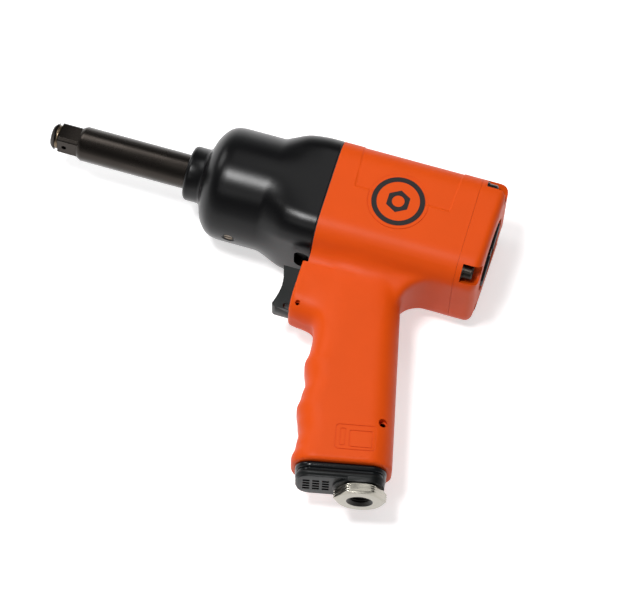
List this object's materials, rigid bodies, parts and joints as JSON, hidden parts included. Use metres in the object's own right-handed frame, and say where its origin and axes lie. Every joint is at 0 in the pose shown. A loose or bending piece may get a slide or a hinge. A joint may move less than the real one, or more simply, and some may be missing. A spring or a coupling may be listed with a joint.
{
  "type": "impact wrench",
  "caption": "Pistol-grip air impact wrench with a long round anvil, square drive, domed black hammer case, orange housing, trigger, exhaust base and hex air inlet.",
  "frame": {"origin": "on the spindle axis at the drive shoulder, where the round shank ends and the square begins", "axes": "X along the spindle, the square pointing to -X; -Y towards the grip's base; +Z the tool's left side, up as it lies on its right side"},
  "size_m": [0.2467, 0.1908, 0.0621],
  "materials": {
    "orange_housing": "satin moulded nylon composite",
    "gloss_black_case": "gloss black paint on cast metal",
    "black_oxide_steel": "dark brown-black oxide with ground marks",
    "black_plastic": "black moulded plastic",
    "black_rubber": "smooth black rubber",
    "nickel_plate": "satin nickel plate",
    "bright_steel": "ground steel",
    "forged_steel": "machined alloy steel",
    "plate_metal": "turned aluminium",
    "bronze": "sintered bronze",
    "throttle_metal": "turned aluminium",
    "vane_resin": "phenolic laminate",
    "gasket_fibre": "dark gasket sheet",
    "felt": "pressed felt",
    "dark_badge": "dark printed disc"
  },
  "bodies": {
    "tool_body": {"motor_housing": "orange_housing", "rear_cover": "orange_housing", "hammer_case": "gloss_black_case", "case_bolts": "black_oxide_steel", "trigger_pin": "black_oxide_steel", "base_pin": "black_oxide_steel", "exhaust_base": "black_plastic", "base_gasket": "black_rubber", "anvil_seal": "black_rubber", "inlet_o_ring": "black_rubber", "inlet_bushing": "nickel_plate", "grease_plug": "bright_steel", "bolt_washers": "bright_steel", "alignment_pin": "bright_steel", "wave_washer": "bright_steel", "front_bearing_outer_race": "bright_steel", "rear_bearing_outer_race": "bright_steel", "detent_ball": "bright_steel", "cage_washer": "bright_steel", "thrust_washer": "bright_steel", "trigger_spring": "bright_steel", "throttle_spring": "bright_steel", "detent_spring": "bright_steel", "cylinder_liner": "forged_steel", "front_end_plate": "plate_metal", "rear_end_plate": "plate_metal", "anvil_bushing": "bronze", "rod_bushing": "bronze", "throttle_seat": "bronze", "inlet_screen": "bronze", "case_gasket": "gasket_fibre", "rear_gasket": "gasket_fibre", "muffler_felt": "felt", "side_badge": "dark_badge"},
    "anvil_body": {"anvil": "black_oxide_steel", "socket_retainer_ring": "black_oxide_steel", "retainer_cushion_ring": "black_rubber"},
    "rotor_body": {"rotor": "forged_steel", "rotor_vanes": "vane_resin", "hammer_cage": "forged_steel", "hammer_pins": "bright_steel", "front_bearing_inner_race": "bright_steel", "rear_bearing_inner_race": "bright_steel"},
    "front_hammer_body": {"front_hammer": "forged_steel"},
    "rear_hammer_body": {"rear_hammer": "forged_steel"},
    "front_ball_set": {"front_bearing_balls": "bright_steel", "front_bearing_cage": "bronze"},
    "rear_ball_set": {"rear_bearing_balls": "bright_steel", "rear_bearing_cage": "bronze"},
    "trigger_body": {"trigger": "black_plastic", "trigger_rod": "bright_steel"},
    "throttle_body": {"throttle_valve": "throttle_metal"},
    "dial_body": {"reverse_dial": "black_plastic", "reverse_valve": "throttle_metal", "reverse_valve_o_ring": "black_rubber", "dial_screw": "black_oxide_steel"}
  },
  "joints": [
    {"name": "anvil_spin", "type": "hinge", "parent": "tool_body", "child": "anvil_body", "pos_m": [0, 0, 0], "axis": [1, 0, 0], "continuous": true},
    {"name": "rotor_spin", "type": "hinge", "parent": "tool_body", "child": "rotor_body", "pos_m": [0.15, 0, 0], "axis": [1, 0, 0], "continuous": true},
    {"name": "front_hammer_rock", "type": "hinge", "parent": "rotor_body", "child": "front_hammer_body", "pos_m": [0.1, 0.0215, 0], "axis": [1, 0, 0], "range_deg": [-2, 2]},
    {"name": "rear_hammer_rock", "type": "hinge", "parent": "rotor_body", "child": "rear_hammer_body", "pos_m": [0.115, -0.0215, 0], "axis": [1, 0, 0], "range_deg": [-2, 2]},
    {"name": "front_balls_roll", "type": "hinge", "parent": "tool_body", "child": "front_ball_set", "pos_m": [0.1435, 0, 0], "axis": [1, 0, 0], "continuous": true},
    {"name": "rear_balls_roll", "type": "hinge", "parent": "tool_body", "child": "rear_ball_set", "pos_m": [0.1985, 0, 0], "axis": [1, 0, 0], "continuous": true},
    {"name": "trigger_slide", "type": "slide", "parent": "tool_body", "child": "trigger_body", "axis": [1, 0, 0], "range_m": [0, 0.0065], "stiffness_N_per_m": 1200, "springref_m": -0.004, "deforming": ["trigger_spring"]},
    {"name": "throttle_tilt", "type": "hinge", "parent": "tool_body", "child": "throttle_body", "pos_m": [0.18103, -0.08169, 0], "axis": [0, 0, -1], "range_deg": [0, 8.6], "deforming": ["throttle_spring"]},
    {"name": "dial_turn", "type": "hinge", "parent": "tool_body", "child": "dial_body", "pos_m": [0.225, 0, 0], "axis": [1, 0, 0], "range_deg": [-60, 60]}
  ],
  "couplings": [
    {"joint": "front_balls_roll", "follows": "rotor_spin", "ratio": 0.3737},
    {"joint": "rear_balls_roll", "follows": "rotor_spin", "ratio": 0.3647},
    {"joint": "throttle_tilt", "follows": "trigger_slide", "rad_per_m": 22.823}
  ]
}
